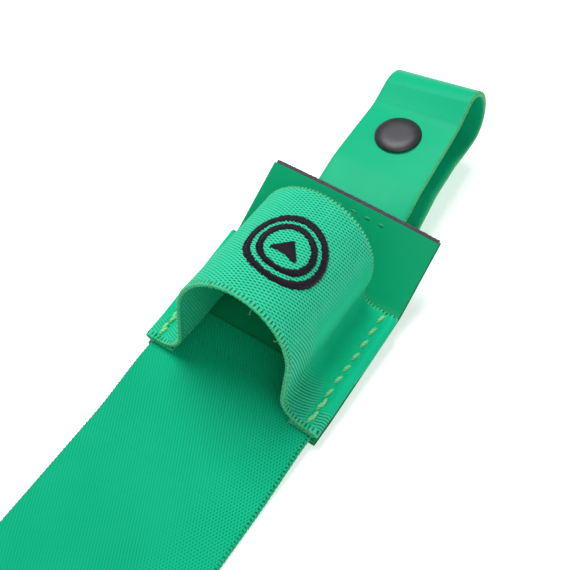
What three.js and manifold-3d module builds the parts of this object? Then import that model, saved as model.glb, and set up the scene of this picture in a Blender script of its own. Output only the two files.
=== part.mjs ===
// Belt-hung elastic gear holster: an arched elastic sleeve on a flared coated panel, a wide elastic
// strap below it, and a press-stud belt loop above it. Millimetres, +Z up, +Y towards the belt loop.
// The origin is on the flat back of the panel, where the holster rests, on the centre line.
import * as THREE from 'three';
import { mergeVertices } from 'three/addons/utils/BufferGeometryUtils.js';
import Module from 'manifold-3d';

const wasm = await Module();
wasm.setup();

// ---- driving dimensions -------------------------------------------------------------------
const REST_Y = 4;             // origin: this far above the panel's lower edge
const LAYER_GAP = 0.15;       // clearance between sewn layers

const PANEL_WIDTH = 52.4;
const PANEL_FLAT = 8;         // flat foot of the panel, lying on the table
const PANEL_CREASE = 39.8;    // where the upper lip starts
const PANEL_PITCH = rad(7);   // slope between the foot and the crease
const LIP_LENGTH = 25.8;
const LIP_PITCH = rad(30.5);
const LIP_CROWN = 3.4;        // the lip's middle stands this much above its corners
const LIP_BEND = 5;           // length over which the crease turns
const FACE_THICKNESS = 0.5;
const CORE_THICKNESS = 0.9;
const PANEL_THICKNESS = 2 * FACE_THICKNESS + CORE_THICKNESS + 2 * LAYER_GAP;

const STRAP_WIDTH = 50;
const STRAP_THICKNESS = 1.3;
const STRAP_HALF = STRAP_THICKNESS / 2;
const STRAP_INSIDE = 16;      // length sewn under the sleeve
const STRAP_SEGMENT = 49;     // each free stretch of the strap
const STRAP_SETTLE = 24;      // length over which it comes down to the table
const NOSE_REACH = 0.98;      // share of the half thickness by which a bend's rounded end stands out
const NOSE_HEIGHT = 0.2;      // share of the thickness left at that end
const NOSE_CELLS = 4;
const HEM_LENGTH = 14;
const HINGE_Y = -1.4;         // the strap's bend line at the sleeve's mouth
const BEND_GAP = 0.3;

const SLEEVE_BAND = 39.4;     // band width, along Y
const SLEEVE_THICKNESS = 1.1;
const SLEEVE_LEAN = 0.14;     // the arch leans back by this share of its height
const SLEEVE_SETBACK = 0.3;   // from the panel's lower edge to the sleeve's mouth
const SLEEVE_HEIGHT = [39.6, 36.6];            // at the mouth and at the rear, above the table
const CREST_RADIUS = [16, 16.6];
const FOOT_RADIUS = [6.5, 4.6];
const PINCH = [rad(2), rad(13)];               // how far the flanks lean in
const STRAP_STEP = [0.38, 0.6];                // the feet step down where the strap ends
const FLANGE_EDGE = 25.6;     // the fold of the sleeve's foot, from the centre line
const UNDERLAP = 7.5;         // turned-under end of the band
const UNDER_TURN = (SLEEVE_THICKNESS + LAYER_GAP) / 2;
const SEAM_X = 23;            // the side seams, from the centre line
const SEAM_INSET = 1;         // from the band's edges to the seams' ends

const LOOP_WIDTH = 27.8;
const LOOP_THICKNESS = 1.6;
const LOOP_TWIST = rad(13.5); // roll of the front ply at the fold
const TAIL_ROLL = rad(2);
const TAIL_SHIFT = 2.2;       // the rear ply lies this far to the right of the front one
const LOOP_SHIFT = [1.2, -1.3];                // sideways place at the lip and at the fold
const LOOP_START = 47;        // Y of the front ply's sewn end, under the lip
const STITCH_PITCH = 4.2;
const STITCH_RISE = 0.45;     // the thread's crests above the cloth, and its low points
const STITCH_LOW = 0.1;
const THREAD_RADIUS = 0.36;
const LOOP_SEAM_LENGTH = 25.2;
const LOOP_SEAM_INSETS = { upper: 3.8, lower: 11.5 };  // below the lip's edge
const HEM_SEAM_LENGTH = 44;
const HEM_SEAM_INSETS = { outer: 3, inner: 11 };       // from the strap's end
const CROSS_SEAM_LENGTH = 30;
const CROSS_SEAM_Y = 7;

const SNAP_Y = 84.9;
const SNAP_X = -0.9;
const SNAP_Z = 19.7;
const SNAP_ROLL = rad(6);
const SNAP_PITCH = rad(3);
const CAP_RADIUS = 6.5;
const PLY_SPACING = 7.3;      // between the plies' middles at the press stud

const COLORS = {
  elastic: 0x1fb884, vinyl: 0x17c48a, panel: 0x0fa36f, core: 0x55565c,
  thread: 0x8fe6b0, emblem: 0x1d1f26, metal: 0x4a4b50, spring: 0x9a9ca0,
};

// ---- helpers ------------------------------------------------------------------------------
function rad(degrees) {
  return THREE.MathUtils.degToRad(degrees);
}

function smooth(x, a, b) {
  return THREE.MathUtils.smoothstep(x, a, b);
}

function mix(a, b, t) {
  return a + (b - a) * t;
}

function makeMesh(name, geometry, color, roughness = 0.75, metalness = 0) {
  const material = new THREE.MeshStandardMaterial({ color, roughness, metalness });
  const mesh = new THREE.Mesh(geometry, material);
  mesh.name = name;
  return mesh;
}

function weld(geometry) {
  const bare = geometry.clone();
  bare.deleteAttribute('normal');
  bare.deleteAttribute('uv');
  return mergeVertices(bare, 1e-5);
}

// A box of nu x nv cells whose vertices are moved by place(i, j, side): i across, j along,
// side -1 below and +1 above. The result is one closed sheet of any shape.
function bentSheet(nu, nv, place) {
  const geometry = weld(new THREE.BoxGeometry(nu, nv, 2, nu, nv, 1));
  const position = geometry.attributes.position;
  for (let k = 0; k < position.count; k += 1) {
    const i = Math.round(position.getX(k) + nu / 2);
    const j = Math.round(position.getY(k) + nv / 2);
    const p = place(i, j, Math.sign(position.getZ(k)));
    position.setXYZ(k, p.x, p.y, p.z);
  }
  return geometry;
}

function toManifold(geometry) {
  const welded = weld(geometry);
  return new wasm.Manifold(new wasm.Mesh({
    numProp: 3,
    vertProperties: new Float32Array(welded.attributes.position.array),
    triVerts: new Uint32Array(welded.index.array),
  }));
}

function fromManifold(solid) {
  const mesh = solid.getMesh();
  const geometry = new THREE.BufferGeometry();
  geometry.setAttribute('position', new THREE.BufferAttribute(mesh.vertProperties.slice(), 3));
  geometry.setIndex(Array.from(mesh.triVerts));
  return geometry;
}

function subtract(geometry, ...tools) {
  let solid = toManifold(geometry);
  for (const tool of tools) {
    solid = solid.subtract(toManifold(tool));
  }
  return fromManifold(solid);
}

function lathe(points, segments = 32) {
  const profile = points.map(([r, z]) => new THREE.Vector2(r, z));
  const geometry = new THREE.LatheGeometry(profile, segments);
  return geometry.rotateX(Math.PI / 2);
}

// A thread: a many-sided section swept through a list of points.
function sweptThread(points, radius = THREAD_RADIUS, steps = points.length - 1) {
  const outline = new THREE.Shape();
  const sides = 6;
  for (let k = 0; k < sides; k += 1) {
    const a = (2 * Math.PI * k) / sides;
    const x = radius * Math.cos(a);
    const y = radius * Math.sin(a);
    if (k === 0) outline.moveTo(x, y);
    else outline.lineTo(x, y);
  }
  outline.closePath();
  const path = new THREE.CatmullRomCurve3(points);
  return weld(new THREE.ExtrudeGeometry(outline, { steps, bevelEnabled: false, extrudePath: path }));
}

// Points of a running stitch: the thread rises and dips once per stitch, never into the cloth.
function stitchPoints(length, surface, side = 1) {
  const stitches = Math.round(length / STITCH_PITCH);
  const points = [];
  for (let k = 0; k <= 2 * stitches; k += 1) {
    const rise = THREAD_RADIUS + LAYER_GAP + (k % 2 ? STITCH_RISE : STITCH_LOW);
    points.push(surface((k / (2 * stitches)) * length, side * rise));
  }
  return points;
}

// ---- the panel ----------------------------------------------------------------------------
// Height and slope of the panel's underside at a distance s along it.
function panelLine(s) {
  const rise = PANEL_CREASE - PANEL_FLAT;
  const foot = Math.min(s, PANEL_FLAT);
  const middle = THREE.MathUtils.clamp(s - PANEL_FLAT, 0, rise);
  const lip = Math.max(0, s - PANEL_CREASE);
  const turned = Math.min(lip, LIP_BEND);
  const turn = (turned * turned) / (2 * LIP_BEND) + Math.max(0, lip - LIP_BEND);
  const start = lip - turn;
  return {
    y: foot + (middle + start) * Math.cos(PANEL_PITCH) + turn * Math.cos(LIP_PITCH),
    z: (middle + start) * Math.sin(PANEL_PITCH) + turn * Math.sin(LIP_PITCH),
    pitch: mix(s > PANEL_FLAT ? PANEL_PITCH : 0, LIP_PITCH, turned / LIP_BEND),
  };
}

// A point of the panel: x across, s along, h above its underside.
function panelPoint(x, s, h) {
  const line = panelLine(s);
  const along = smooth(s, PANEL_CREASE, PANEL_CREASE + LIP_LENGTH);
  const across = 1 - (2 * x / PANEL_WIDTH) ** 2;
  const lift = h + LIP_CROWN * along * across;
  const slope = line.pitch;
  return new THREE.Vector3(x, line.y - lift * Math.sin(slope), line.z + lift * Math.cos(slope));
}

function panelLayer(bottom, thickness) {
  const stations = [0, PANEL_FLAT, 18, 28, PANEL_CREASE];
  for (let k = 1; k <= 4; k += 1) stations.push(PANEL_CREASE + (k * LIP_BEND) / 4);
  for (let k = 1; k <= 4; k += 1) {
    stations.push(PANEL_CREASE + LIP_BEND + (k * (LIP_LENGTH - LIP_BEND)) / 4);
  }
  const across = 12;
  return bentSheet(across, stations.length - 1, (i, j, side) => {
    const x = (i / across - 0.5) * PANEL_WIDTH;
    return panelPoint(x, stations[j], side > 0 ? bottom + thickness : bottom);
  });
}

function buildPanel() {
  const core = FACE_THICKNESS + LAYER_GAP;
  const face = core + CORE_THICKNESS + LAYER_GAP;
  return [
    makeMesh('panel_backing', panelLayer(0, FACE_THICKNESS), COLORS.panel, 0.5),
    makeMesh('panel_core', panelLayer(core, CORE_THICKNESS), COLORS.core, 0.9),
    makeMesh('panel_face', panelLayer(face, FACE_THICKNESS), COLORS.panel, 0.45),
  ];
}

// ---- the elastic strap --------------------------------------------------------------------
const STRAP_BASE = PANEL_THICKNESS + LAYER_GAP;

// Underside of the free strap: it leaves the sleeve's mouth and settles on the table.
function strapBase(y) {
  return STRAP_BASE * (1 - smooth(-y, 2, STRAP_SETTLE));
}

function strapPoint(x, y, h) {
  return new THREE.Vector3(x, y, strapBase(y) + h);
}

function buildAnchor() {
  const rear = HINGE_Y + STRAP_HALF + BEND_GAP;
  const stations = [rear, PANEL_FLAT, STRAP_INSIDE];
  const geometry = bentSheet(4, stations.length - 1, (i, j, side) => {
    const x = (i / 4 - 0.5) * STRAP_WIDTH;
    const h = STRAP_BASE + (side > 0 ? STRAP_THICKNESS : 0);
    return panelPoint(x, stations[j], h);
  });
  return makeMesh('strap_anchor', geometry, COLORS.elastic, 0.85);
}

// The rounded end of a strap segment about its bend line, k cells past that line.
function strapNose(x, bend, k, side) {
  const a = (k / NOSE_CELLS) * (Math.PI / 2);
  const half = STRAP_HALF * Math.max(Math.cos(a), NOSE_HEIGHT);
  return strapPoint(x, bend + STRAP_HALF * Math.sin(a) * NOSE_REACH, STRAP_HALF + side * half);
}

// A strap segment from y = start down to y = stop; its upper end is rounded about the bend line.
function strapSegment(start, stop, cells) {
  return bentSheet(4, cells + NOSE_CELLS, (i, j, side) => {
    const x = (i / 4 - 0.5) * STRAP_WIDTH;
    if (j > cells) return strapNose(x, start, j - cells, side);
    return strapPoint(x, mix(stop, start, j / cells), STRAP_HALF + side * STRAP_HALF);
  });
}

const STRAP_FOLD_Y = HINGE_Y - STRAP_SEGMENT;

function buildStrapMid() {
  const stop = STRAP_FOLD_Y + STRAP_HALF + BEND_GAP;
  return makeMesh('strap_mid', strapSegment(HINGE_Y, stop, 10), COLORS.elastic, 0.85);
}

// The last stretch, turned over at its end into a hem that lies on top of it.
function buildStrapEnd() {
  const end = STRAP_FOLD_Y - STRAP_SEGMENT;
  const turn = (STRAP_THICKNESS + LAYER_GAP) / 2;
  const upper = new THREE.Path();
  upper.moveTo(end + HEM_LENGTH, STRAP_HALF + 2 * turn);
  upper.lineTo(end + turn, STRAP_HALF + 2 * turn);
  upper.absarc(end + turn, STRAP_HALF + turn, turn, Math.PI / 2, 1.5 * Math.PI, false);
  upper.lineTo(STRAP_FOLD_Y, STRAP_HALF);
  const points = upper.getPoints(6);
  const last = points.length - 1;
  const geometry = bentSheet(4, last + NOSE_CELLS, (i, j, side) => {
    const x = (i / 4 - 0.5) * STRAP_WIDTH;
    if (j > last) return strapNose(x, STRAP_FOLD_Y, j - last, side);
    const a = points[Math.max(0, j - 1)];
    const b = points[Math.min(last, j + 1)];
    const t = b.clone().sub(a).normalize();
    const p = points[j];
    return new THREE.Vector3(x, p.x - side * STRAP_HALF * t.y, p.y + side * STRAP_HALF * t.x);
  });
  return makeMesh('strap_end', geometry, COLORS.elastic, 0.85);
}

function buildStrapSeams() {
  const end = STRAP_FOLD_Y - STRAP_SEGMENT;
  const hemTop = 2 * STRAP_THICKNESS + LAYER_GAP;
  const hemRow = (y) => stitchPoints(
    HEM_SEAM_LENGTH,
    (d, rise) => new THREE.Vector3(d - HEM_SEAM_LENGTH / 2, y, hemTop + rise),
  );
  const top = STRAP_BASE + STRAP_THICKNESS;
  const cross = stitchPoints(
    CROSS_SEAM_LENGTH,
    (d, rise) => panelPoint(d - CROSS_SEAM_LENGTH / 2, CROSS_SEAM_Y, top + rise),
  );
  return [
    makeMesh('strap_cross_seam', sweptThread(cross), COLORS.thread),
    makeMesh('hem_seam_outer', sweptThread(hemRow(end + HEM_SEAM_INSETS.outer)), COLORS.thread),
    makeMesh('hem_seam_inner', sweptThread(hemRow(end + HEM_SEAM_INSETS.inner)), COLORS.thread),
  ];
}

// ---- the sleeve ---------------------------------------------------------------------------
// The omega section at t (0 at the mouth, 1 at the rear): crest arc, flank, foot arc, flange,
// and the end of the band turned under. Every stretch is an arc or a straight line.
function sleeveShape(t) {
  const crest = mix(...CREST_RADIUS, t);
  const foot = mix(...FOOT_RADIUS, t);
  const pinch = mix(...PINCH, t);
  const layers = SLEEVE_THICKNESS * 1.5 + 2 * LAYER_GAP;
  const strap = (STRAP_THICKNESS + LAYER_GAP) * (1 - smooth(t, ...STRAP_STEP));
  const seat = PANEL_THICKNESS + strap + layers;
  const height = mix(...SLEEVE_HEIGHT, t);
  const base = panelLine(t * SLEEVE_BAND).z + seat;
  const flank = (height - base - (crest + foot) * (1 + Math.sin(pinch))) / Math.cos(pinch);
  const footX = (crest + foot) * Math.cos(pinch) - flank * Math.sin(pinch);
  return [
    { radius: -crest, turn: Math.PI / 2 + pinch, cells: 9 },
    { length: flank, cells: 2 },
    { radius: foot, turn: Math.PI / 2 + pinch, cells: 5 },
    { length: FLANGE_EDGE - footX, cells: 2 },
    { radius: -UNDER_TURN, turn: Math.PI, cells: 4 },
    { length: UNDERLAP, cells: 2 },
  ].map((part) => ({ ...part, height, base }));
}

// Stations along half of the section: position and heading in the XZ plane, crest first.
function sleeveStations(t) {
  const parts = sleeveShape(t);
  const stations = [{ x: 0, z: parts[0].height, heading: 0 }];
  let { x, z, heading } = stations[0];
  for (const part of parts) {
    for (let k = 0; k < part.cells; k += 1) {
      const turn = part.radius ? (Math.sign(part.radius) * part.turn) / part.cells : 0;
      const step = part.radius
        ? 2 * Math.abs(part.radius) * Math.sin(Math.abs(turn) / 2)
        : part.length / part.cells;
      x += step * Math.cos(heading + turn / 2);
      z += step * Math.sin(heading + turn / 2);
      heading += turn;
      stations.push({ x, z, heading });
    }
  }
  return stations;
}

function bandY(t) {
  return SLEEVE_SETBACK + panelLine(t * SLEEVE_BAND).y;
}

function sleevePoint(station, t, h, mirror) {
  const x = station.x - h * Math.sin(station.heading);
  const z = station.z + h * Math.cos(station.heading);
  const base = sleeveShape(t)[0].base;
  const y = bandY(t) + SLEEVE_LEAN * Math.max(0, station.z - base);
  return new THREE.Vector3(mirror * x, y, z);
}

function buildSleeve() {
  const rows = 8;
  const half = sleeveStations(0).length - 1;
  const geometry = bentSheet(2 * half, rows, (i, j, side) => {
    const t = j / rows;
    const mirror = i < half ? -1 : 1;
    const station = sleeveStations(t)[Math.abs(i - half)];
    return sleevePoint(station, t, (side * SLEEVE_THICKNESS) / 2, mirror);
  });
  return makeMesh('sleeve', geometry, COLORS.elastic, 0.85);
}

// A row of running stitches along each foot of the sleeve.
function buildSideSeam(name, mirror) {
  const row = stitchPoints(SLEEVE_BAND - 2 * SEAM_INSET, (d, rise) => {
    const t = (d + SEAM_INSET) / SLEEVE_BAND;
    const top = sleeveShape(t)[0].base + SLEEVE_THICKNESS / 2;
    return new THREE.Vector3(mirror * SEAM_X, bandY(t), top + rise);
  });
  return makeMesh(name, sweptThread(row), COLORS.thread);
}

// ---- the emblem: two rings and a peak, embroidered on the sleeve's crown ---------------------
const EMBLEM_T = 0.485;       // its centre's place along the band and across the crest
const EMBLEM_X = 2.4;
const EMBLEM_HEIGHT = 0.5;
const EMBLEM_GAP = 0.2;
const OUTER_RING = { radius: 9.6, width: 2 };
const INNER_RING = { radius: 6.6, width: 1.8 };
const RING_CELLS = 36;
const PEAK = { foot: -2.4, height: 5.4, width: 7, spread: 8, columns: 6, rows: 4 };

// Wraps a flat outline (x across, y along) round the crest arc, lifted above the band.
function wrapOnCrest(geometry) {
  const position = geometry.attributes.position;
  for (let k = 0; k < position.count; k += 1) {
    const x = position.getX(k);
    const t = EMBLEM_T + position.getY(k) / SLEEVE_BAND;
    const shape = sleeveShape(t);
    const radius = -shape[0].radius;
    const turn = (x + EMBLEM_X) / radius;
    const reach = radius + SLEEVE_THICKNESS / 2 + EMBLEM_GAP + position.getZ(k);
    const z = shape[0].height - radius + reach * Math.cos(turn);
    const height = shape[0].height - radius + radius * Math.cos(turn);
    const y = bandY(t) + SLEEVE_LEAN * (height - shape[0].base);
    position.setXYZ(k, reach * Math.sin(turn), y, z);
  }
  return geometry;
}

function emblemRing(name, { radius, width }) {
  const inner = radius - width / 2;
  const outer = radius + width / 2;
  const profile = [
    [inner, 0], [outer, 0], [outer, EMBLEM_HEIGHT], [inner, EMBLEM_HEIGHT], [inner, 0],
  ];
  const geometry = weld(lathe(profile, RING_CELLS));
  return makeMesh(name, wrapOnCrest(geometry), COLORS.emblem, 0.7);
}

function emblemPeak() {
  const geometry = bentSheet(PEAK.columns, PEAK.rows, (i, j, side) => {
    const x = (i / PEAK.columns - 0.5) * PEAK.width;
    const top = PEAK.foot + PEAK.height * (1 - (2 * Math.abs(x)) / PEAK.spread);
    return new THREE.Vector3(x, mix(PEAK.foot, top, j / PEAK.rows), side > 0 ? EMBLEM_HEIGHT : 0);
  });
  return makeMesh('emblem_peak', wrapOnCrest(geometry), COLORS.emblem, 0.7);
}

// ---- the belt loop ------------------------------------------------------------------------
// Side view of the loop's middle line: sewn under the lip, out to the fold and back as the tail.
const FOLD_Y = 103.6;
const FOLD_Z = 17.1;
const FOLD_RADIUS = 6.9;
const FOLD_START = rad(110);                   // where the front ply runs into the fold's arc
const FOLD_RISE = [96.6, 21.3];                // (y, z) between the press stud and the fold
const LIP_SLOT = LOOP_THICKNESS / 2 + 0.55;    // from the lip's underside to the ply's middle
const LIP_END = panelPoint(0, PANEL_CREASE + LIP_LENGTH, 0).y;
const SEWN_STATIONS = [LOOP_START, 52, 58, 64];
const RISE_POINT = [68.5, 18.7];               // (y, z) just above the lip
const SNAP_REACHES = [-9, 0, 8];               // the straight stretch round the press stud
const TAIL_END = [[72, 9.6], [62, 5.6], [51, 2.7], [45.5, 1.6]];
const CROWN_END = 72;                          // where the ply is flat across again

function frontLine() {
  const points = [];
  for (const s of SEWN_STATIONS) {
    const p = panelPoint(0, s, -LIP_SLOT);
    points.push(new THREE.Vector2(p.y, p.z));
  }
  points.push(new THREE.Vector2(...RISE_POINT));
  for (const reach of SNAP_REACHES) {
    points.push(new THREE.Vector2(SNAP_Y + reach, SNAP_Z + reach * Math.tan(SNAP_PITCH)));
  }
  points.push(new THREE.Vector2(...FOLD_RISE), foldPoint(FOLD_START));
  return new THREE.SplineCurve(points).getPoints(28).slice(0, -1);
}

function foldPoint(angle) {
  const arm = new THREE.Vector2(Math.cos(angle), Math.sin(angle)).multiplyScalar(FOLD_RADIUS);
  return new THREE.Vector2(FOLD_Y, FOLD_Z).add(arm);
}

function foldArc(from, to, cells) {
  const points = [];
  for (let k = 0; k <= cells; k += 1) points.push(foldPoint(mix(from, to, k / cells)));
  return points;
}

function tailLine() {
  const tailZ = SNAP_Z - PLY_SPACING;
  const points = [
    new THREE.Vector2(FOLD_Y - 1, FOLD_Z - FOLD_RADIUS),
    new THREE.Vector2(SNAP_Y + 12, tailZ - 1.3),
    new THREE.Vector2(SNAP_Y + 6, tailZ + 0.1),
    new THREE.Vector2(SNAP_Y, tailZ),
    new THREE.Vector2(SNAP_Y - 7, tailZ - 7 * Math.tan(SNAP_PITCH)),
    ...TAIL_END.map(([y, z]) => new THREE.Vector2(y, z)),
  ];
  return new THREE.SplineCurve(points).getPoints(21);
}

// Roll and sideways place of the strip at a point of its middle line. `round` runs from 0 on the
// front ply to 1 on the tail, through the fold.
function loopFrame(point, round) {
  const along = THREE.MathUtils.clamp((point.x - LIP_END) / (FOLD_Y - LIP_END), 0, 1);
  const crowned = smooth(point.x, PANEL_CREASE, LIP_END) * (1 - smooth(point.x, LIP_END, CROWN_END));
  return {
    roll: mix(LOOP_TWIST * along, TAIL_ROLL, smooth(round, 0, 1)),
    shift: mix(...LOOP_SHIFT, along) + TAIL_SHIFT * smooth(round, 0, 1),
    crown: round > 0 ? 0 : LIP_CROWN * crowned,
  };
}

// A strip along a list of points in the YZ plane; rounds gives each point's share of the fold.
function loopStrip(line, rounds) {
  const across = 6;
  return bentSheet(across, line.length - 1, (i, j, side) => {
    const a = line[Math.max(0, j - 1)];
    const b = line[Math.min(line.length - 1, j + 1)];
    const tangent = new THREE.Vector3(0, b.x - a.x, b.y - a.y).normalize();
    const { roll, shift, crown } = loopFrame(line[j], rounds[j]);
    const x = (i / across - 0.5) * LOOP_WIDTH;
    const lateral = new THREE.Vector3(1, 0, 0).applyAxisAngle(new THREE.Vector3(0, 1, 0), -roll);
    const normal = new THREE.Vector3().crossVectors(lateral, tangent).normalize();
    return new THREE.Vector3(shift, line[j].x, line[j].y)
      .addScaledVector(lateral, x)
      .addScaledVector(normal, (side * LOOP_THICKNESS) / 2 - crown * (2 * x / PANEL_WIDTH) ** 2);
  });
}

const FOLD_GAP = 0.04;        // half of the angle left open where the two halves meet

function frontPlyGeometry() {
  const arc = foldArc(FOLD_START, FOLD_GAP, 7);
  const line = frontLine().concat(arc);
  const start = line.length - arc.length;
  return loopStrip(line, line.map((p, j) => Math.max(0, (j - start) / (2 * (arc.length - 1)))));
}

function tailPlyGeometry() {
  const arc = foldArc(-FOLD_GAP, -Math.PI / 2, 6);
  const line = arc.concat(tailLine());
  return loopStrip(line, line.map((p, j) => Math.min(1, 0.5 + j / (2 * (arc.length - 1)))));
}

function atSnap(object) {
  object.position.set(SNAP_X, SNAP_Y, SNAP_Z);
  object.rotation.set(SNAP_PITCH, -SNAP_ROLL, 0);
  object.updateMatrix();
  return object;
}

function snapHole(radius) {
  return new THREE.CylinderGeometry(radius, radius, 8, 16).rotateX(Math.PI / 2);
}

function buildFrontPly() {
  const seat = atSnap(new THREE.Object3D());
  const hole = snapHole(1.9).applyMatrix4(seat.matrix);
  return makeMesh('loop_front_ply', subtract(frontPlyGeometry(), hole), COLORS.vinyl, 0.4);
}

function buildTailPly() {
  const seat = atSnap(new THREE.Object3D());
  const hole = snapHole(1.7).translate(0, 0, -PLY_SPACING).applyMatrix4(seat.matrix);
  return makeMesh('loop_tail_ply', subtract(tailPlyGeometry(), hole), COLORS.vinyl, 0.4);
}

// Two rows of stitches hold the front ply under the lip; each has a thread above and one below.
function buildLoopSeams() {
  const seams = [];
  const half = LOOP_SEAM_LENGTH / 2;
  const lowest = -LIP_SLOT - LOOP_THICKNESS / 2 - 0.5;
  const row = (s, base, side) => stitchPoints(
    LOOP_SEAM_LENGTH,
    (d, rise) => panelPoint(d - half, s, base + rise),
    side,
  );
  for (const [place, inset] of Object.entries(LOOP_SEAM_INSETS)) {
    const s = PANEL_CREASE + LIP_LENGTH - inset;
    const top = row(s, PANEL_THICKNESS, 1);
    const under = row(s, lowest, -1);
    seams.push(makeMesh(`loop_seam_${place}`, sweptThread(top), COLORS.thread));
    seams.push(makeMesh(`loop_bobbin_${place}`, sweptThread(under), COLORS.thread));
  }
  return seams;
}

// ---- the press stud -----------------------------------------------------------------------
// Local +Z is the stud's axis and z = 0 the middle of the front ply.
function buildSnapCap() {
  return makeMesh('snap_cap', lathe([
    [0, 2.55], [2.4, 2.45], [4.4, 2.15], [5.7, 1.75], [CAP_RADIUS, 1.5], [CAP_RADIUS, 1.2],
    [1.5, 1.2], [1.5, -2.0], [0, -2.0],
  ].reverse(), 40), COLORS.metal, 0.35, 0.8);
}

function buildSnapSocket() {
  return makeMesh('snap_socket', lathe([
    [1.9, -1.15], [1.9, -2.35], [3.6, -2.35], [3.6, -3.35], [2.8, -3.35], [2.8, -3.8],
    [4.6, -3.8], [5.2, -3.2], [5.4, -1.5], [5.4, -1.15], [1.9, -1.15],
  ], 32), COLORS.metal, 0.35, 0.8);
}

// The spring that grips the stud: an open ring of wire in the socket's groove.
function buildSnapSpring() {
  const points = [];
  for (let k = 0; k <= 12; k += 1) {
    const a = rad(20 + (320 * k) / 12);
    points.push(new THREE.Vector3(3.05 * Math.cos(a), 3.05 * Math.sin(a), -2.85));
  }
  return makeMesh('snap_spring', sweptThread(points, 0.28, 24), COLORS.spring, 0.3, 0.9);
}

function buildSnapStud() {
  const d = -PLY_SPACING;
  return makeMesh('snap_stud', lathe([
    [1.7, d + 1.25], [1.7, d + 2.9], [0, d + 2.9], [0, d + 4.4], [1.6, d + 4.35], [2.2, d + 4.0],
    [2.35, d + 3.5], [2.0, d + 2.9], [2.0, d + 2.1], [4.8, d + 1.9], [4.8, d + 1.25], [1.7, d + 1.25],
  ].reverse(), 32), COLORS.metal, 0.35, 0.8);
}

function buildSnapPost() {
  const d = -PLY_SPACING;
  return makeMesh('snap_post', lathe([
    [0, d + 2.6], [1.4, d + 2.6], [1.4, d - 1.25], [4.6, d - 1.25], [4.6, d - 1.65], [4.0, d - 2.0],
    [0, d - 2.1],
  ].reverse(), 32), COLORS.metal, 0.4, 0.8);
}

// ---- assembly -----------------------------------------------------------------------------
const snap = atSnap(new THREE.Group());
snap.add(buildSnapCap(), buildSnapSocket(), buildSnapSpring(), buildSnapStud(), buildSnapPost());

const holster = new THREE.Group();
holster.add(...buildPanel(), buildAnchor(), buildStrapMid(), buildStrapEnd(), ...buildStrapSeams());
holster.add(buildSleeve(), buildSideSeam('side_seam_left', -1), buildSideSeam('side_seam_right', 1));
holster.add(emblemRing('emblem_outer_ring', OUTER_RING));
holster.add(emblemRing('emblem_inner_ring', INNER_RING));
holster.add(emblemPeak());
holster.add(buildFrontPly(), buildTailPly(), ...buildLoopSeams(), snap);
holster.position.y = -REST_Y;

const part = new THREE.Group();
part.add(holster);

export default part;
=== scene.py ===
import math

import bpy
import numpy as np
from mathutils import Matrix, Quaternion, Vector


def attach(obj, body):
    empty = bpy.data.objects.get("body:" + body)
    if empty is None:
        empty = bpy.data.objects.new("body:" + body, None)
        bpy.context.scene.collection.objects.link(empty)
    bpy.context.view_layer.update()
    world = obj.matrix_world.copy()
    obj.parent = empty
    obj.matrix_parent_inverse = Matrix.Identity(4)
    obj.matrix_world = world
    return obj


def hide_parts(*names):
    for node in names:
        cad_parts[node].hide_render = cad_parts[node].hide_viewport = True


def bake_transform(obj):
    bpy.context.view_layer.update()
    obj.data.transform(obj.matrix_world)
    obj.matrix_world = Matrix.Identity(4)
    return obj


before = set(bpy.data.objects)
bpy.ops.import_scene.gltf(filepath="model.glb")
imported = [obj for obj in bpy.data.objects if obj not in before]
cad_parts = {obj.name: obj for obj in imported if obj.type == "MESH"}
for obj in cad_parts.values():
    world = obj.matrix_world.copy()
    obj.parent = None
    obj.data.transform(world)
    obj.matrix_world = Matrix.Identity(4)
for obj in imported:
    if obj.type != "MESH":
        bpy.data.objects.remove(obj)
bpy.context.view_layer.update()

MM = 0.001
REST_Y = 4.0                  # the frame's origin lies this far above the panel's lower edge
GAP = 0.15                    # between sewn layers

# ---- camera --------------------------------------------------------------------------------
CAMERA_AZIMUTH = math.radians(34.11)
CAMERA_ELEVATION = math.radians(55.41)
CAMERA_ROLL = math.radians(-0.34)
CAMERA_DISTANCE = 0.2709
CAMERA_TARGET = Vector((-0.00668, 0.032, 0.001))
LENS_MM = 61.9


def make_camera():
    data = bpy.data.cameras.new("camera")
    data.lens = LENS_MM
    data.sensor_width = 36
    data.clip_start = 0.01
    data.clip_end = 20
    camera = bpy.data.objects.new("camera", data)
    bpy.context.scene.collection.objects.link(camera)
    flat = math.cos(CAMERA_ELEVATION)
    outward = Vector((
        flat * math.sin(CAMERA_AZIMUTH),
        -flat * math.cos(CAMERA_AZIMUTH),
        math.sin(CAMERA_ELEVATION),
    ))
    camera.location = CAMERA_TARGET + CAMERA_DISTANCE * outward
    turn = (-outward).to_track_quat("-Z", "Y") @ Quaternion((0, 0, 1), CAMERA_ROLL)
    camera.rotation_euler = turn.to_euler()
    bpy.context.scene.camera = camera


make_camera()

# ---- dimensions, in millimetres ------------------------------------------------------------
PANEL_WIDTH = 52.4
PANEL_FLAT = 8.0
PANEL_CREASE = 39.8
PANEL_PITCH = math.radians(7)
LIP_LENGTH = 25.8
LIP_PITCH = math.radians(30.5)
LIP_CROWN = 3.4
LIP_BEND = 5.0
FACE_THICKNESS = 0.5
CORE_THICKNESS = 0.9
PANEL_THICKNESS = 2 * FACE_THICKNESS + CORE_THICKNESS + 2 * GAP
PANEL_END = PANEL_CREASE + LIP_LENGTH

STRAP_WIDTH = 50.0
STRAP_THICKNESS = 1.3
STRAP_INSIDE = 16.0
STRAP_SETTLE = 24.0
STRAP_BASE = PANEL_THICKNESS + GAP
STRAP_BEND_Y = -1.4
STRAP_FOLD_Y = -50.4
STRAP_END_Y = -99.4
STRAP_JOIN_Y = -26.0          # where the two strap pieces meet
HEM_LENGTH = 14.0

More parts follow.
